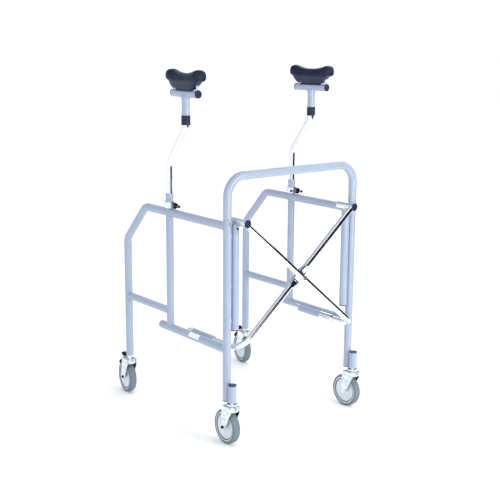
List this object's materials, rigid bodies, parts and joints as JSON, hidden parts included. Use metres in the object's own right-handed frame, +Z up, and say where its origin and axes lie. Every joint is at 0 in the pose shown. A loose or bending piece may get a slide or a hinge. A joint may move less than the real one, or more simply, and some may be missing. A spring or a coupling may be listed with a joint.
{
  "type": "walking frame",
  "caption": "Folding walking frame on castors: tubular side frames joined by a front arch and a chrome scissor brace, with height-adjustable cranked posts and padded underarm rests",
  "frame": {"origin": "on the floor, midway between the four leg tubes", "axes": "+X to the right seen from the braced front, +Y toward the open rear where the user steps in, +Z up"},
  "size_m": [0.6631, 0.7983, 1.3042],
  "materials": {
    "silver_paint": "smooth silver-blue powder coat",
    "chrome": "bright chrome plate",
    "zinc_plate": "bright zinc plate",
    "black_plastic": "moulded, slightly satin",
    "pad_skin": "soft self-skinned foam, fine grain",
    "grey_tyre": "smooth grey rubber",
    "label_film": "white self-adhesive film, blank",
    "white_hub": "moulded, semi-gloss"
  },
  "bodies": {
    "side_frame_l": {"rear_leg_top_rail_l": "silver_paint", "front_leg_l": "silver_paint", "mid_upright_l": "silver_paint", "post_socket_l": "silver_paint", "short_rail_l": "silver_paint", "lower_rail_l": "silver_paint", "guide_tube_l": "silver_paint", "castor_socket_l": "silver_paint", "brace_sleeve_l": "silver_paint", "frame_plugs_l": "black_plastic", "post_clamp_l": "chrome", "rail_label": "label_film"},
    "post_l": {"post_l": "chrome"},
    "head_l": {"head_tee_l": "silver_paint", "head_trim_l": "black_plastic", "pad_bracket_l": "zinc_plate", "underarm_pad_l": "pad_skin"},
    "knob_l": {"clamp_knob_l": "chrome"},
    "slider_l": {"slider_l": "chrome"},
    "side_frame_r": {"rear_leg_top_rail_r": "silver_paint", "front_leg_r": "silver_paint", "mid_upright_r": "silver_paint", "post_socket_r": "silver_paint", "short_rail_r": "silver_paint", "lower_rail_r": "silver_paint", "guide_tube_r": "silver_paint", "castor_socket_r": "silver_paint", "brace_sleeve_r": "silver_paint", "frame_plugs_r": "black_plastic", "post_clamp_r": "chrome"},
    "post_r": {"post_r": "chrome"},
    "head_r": {"head_tee_r": "silver_paint", "head_trim_r": "black_plastic", "pad_bracket_r": "zinc_plate", "underarm_pad_r": "pad_skin"},
    "knob_r": {"clamp_knob_r": "chrome"},
    "slider_r": {"slider_r": "chrome"},
    "arch": {"arch": "silver_paint", "arch_spigot": "zinc_plate"},
    "bar_front": {"bar_front": "chrome", "bar_cap_l": "black_plastic"},
    "bar_back": {"bar_back": "chrome", "bar_cap_r": "black_plastic", "pivot_bolt": "zinc_plate"},
    "castor_fl": {"castor_fork_fl": "zinc_plate"},
    "wheel_fl": {"tyre_fl": "grey_tyre", "wheel_hub_fl": "white_hub"},
    "castor_fr": {"castor_fork_fr": "zinc_plate"},
    "wheel_fr": {"tyre_fr": "grey_tyre", "wheel_hub_fr": "white_hub"},
    "castor_rl": {"castor_fork_rl": "zinc_plate"},
    "wheel_rl": {"tyre_rl": "grey_tyre", "wheel_hub_rl": "white_hub"},
    "pedal_rl": {"brake_pedal_rl": "black_plastic"},
    "castor_rr": {"castor_fork_rr": "zinc_plate"},
    "wheel_rr": {"tyre_rr": "grey_tyre", "wheel_hub_rr": "white_hub"},
    "pedal_rr": {"brake_pedal_rr": "black_plastic"}
  },
  "joints": [
    {"name": "frame_fold", "type": "hinge", "parent": "side_frame_l", "child": "bar_back", "pos_m": [-0.265, -0.119, 0.345], "axis": [0, -1, 0], "range_deg": [0, 35]},
    {"name": "brace_cross", "type": "hinge", "parent": "bar_back", "child": "bar_front", "pos_m": [0, -0.36, 0.571], "axis": [0, 1, 0], "range_deg": [0, 70]},
    {"name": "right_frame_level", "type": "hinge", "parent": "bar_front", "child": "side_frame_r", "pos_m": [0.265, -0.119, 0.345], "axis": [0, -1, 0], "range_deg": [0, 35]},
    {"name": "slider_l_turn", "type": "hinge", "parent": "bar_front", "child": "slider_l", "pos_m": [-0.265, -0.358, 0.797], "axis": [0, -1, 0], "range_deg": [0, 35]},
    {"name": "slider_r_turn", "type": "hinge", "parent": "bar_back", "child": "slider_r", "pos_m": [0.265, -0.347, 0.797], "axis": [0, 1, 0], "range_deg": [0, 35]},
    {"name": "arch_lift", "type": "slide", "parent": "side_frame_l", "child": "arch", "axis": [0, 0, 1], "range_m": [0, 0.14]},
    {"name": "post_height_l", "type": "slide", "parent": "side_frame_l", "child": "post_l", "axis": [0, 0, 1], "range_m": [-0.05, 0.15]},
    {"name": "head_turn_l", "type": "hinge", "parent": "post_l", "child": "head_l", "pos_m": [-0.298, -0.078, 1.124], "axis": [0, 0, 1], "range_deg": [-90, 90]},
    {"name": "knob_turn_l", "type": "hinge", "parent": "side_frame_l", "child": "knob_l", "pos_m": [-0.298, -0.01, 0.811], "axis": [0, -1, 0], "continuous": true},
    {"name": "post_height_r", "type": "slide", "parent": "side_frame_r", "child": "post_r", "axis": [0, 0, 1], "range_m": [-0.05, 0.15]},
    {"name": "head_turn_r", "type": "hinge", "parent": "post_r", "child": "head_r", "pos_m": [0.298, -0.078, 1.124], "axis": [0, 0, 1], "range_deg": [-90, 90]},
    {"name": "knob_turn_r", "type": "hinge", "parent": "side_frame_r", "child": "knob_r", "pos_m": [0.298, -0.01, 0.811], "axis": [0, -1, 0], "continuous": true},
    {"name": "castor_swivel_fl", "type": "hinge", "parent": "side_frame_l", "child": "castor_fl", "pos_m": [-0.298, -0.346, 0.165], "axis": [0, 0, 1], "continuous": true},
    {"name": "wheel_roll_fl", "type": "hinge", "parent": "castor_fl", "child": "wheel_fl", "pos_m": [-0.29643, -0.31604, 0.0625], "axis": [0.9986, -0.0523, 0], "continuous": true},
    {"name": "castor_swivel_fr", "type": "hinge", "parent": "side_frame_r", "child": "castor_fr", "pos_m": [0.298, -0.346, 0.165], "axis": [0, 0, 1], "continuous": true},
    {"name": "wheel_roll_fr", "type": "hinge", "parent": "castor_fr", "child": "wheel_fr", "pos_m": [0.29695, -0.31602, 0.0625], "axis": [0.9994, 0.0349, 0], "continuous": true},
    {"name": "castor_swivel_rl", "type": "hinge", "parent": "side_frame_l", "child": "castor_rl", "pos_m": [-0.298, 0.315, 0.165], "axis": [0, 0, 1], "continuous": true},
    {"name": "wheel_roll_rl", "type": "hinge", "parent": "castor_rl", "child": "wheel_rl", "pos_m": [-0.29331, 0.34463, 0.0625], "axis": [0.9877, -0.1564, 0], "continuous": true},
    {"name": "pedal_press_rl", "type": "hinge", "parent": "castor_rl", "child": "pedal_rl", "pos_m": [-0.2919, 0.35352, 0.141], "axis": [-0.9877, 0.1564, 0], "range_deg": [0, 5]},
    {"name": "castor_swivel_rr", "type": "hinge", "parent": "side_frame_r", "child": "castor_rr", "pos_m": [0.298, 0.315, 0.165], "axis": [0, 0, 1], "continuous": true},
    {"name": "wheel_roll_rr", "type": "hinge", "parent": "castor_rr", "child": "wheel_rr", "pos_m": [0.30424, 0.34434, 0.0625], "axis": [0.9781, -0.2079, 0], "continuous": true},
    {"name": "pedal_press_rr", "type": "hinge", "parent": "castor_rr", "child": "pedal_rr", "pos_m": [0.30611, 0.35315, 0.141], "axis": [-0.9781, 0.2079, 0], "range_deg": [0, 5]}
  ],
  "couplings": [
    {"joint": "brace_cross", "follows": "frame_fold", "ratio": 2},
    {"joint": "right_frame_level", "follows": "frame_fold", "ratio": 1},
    {"joint": "slider_l_turn", "follows": "frame_fold", "ratio": 1},
    {"joint": "slider_r_turn", "follows": "frame_fold", "ratio": 1},
    {"joint": "arch_lift", "follows": "frame_fold", "m_per_rad": 0.229}
  ]
}
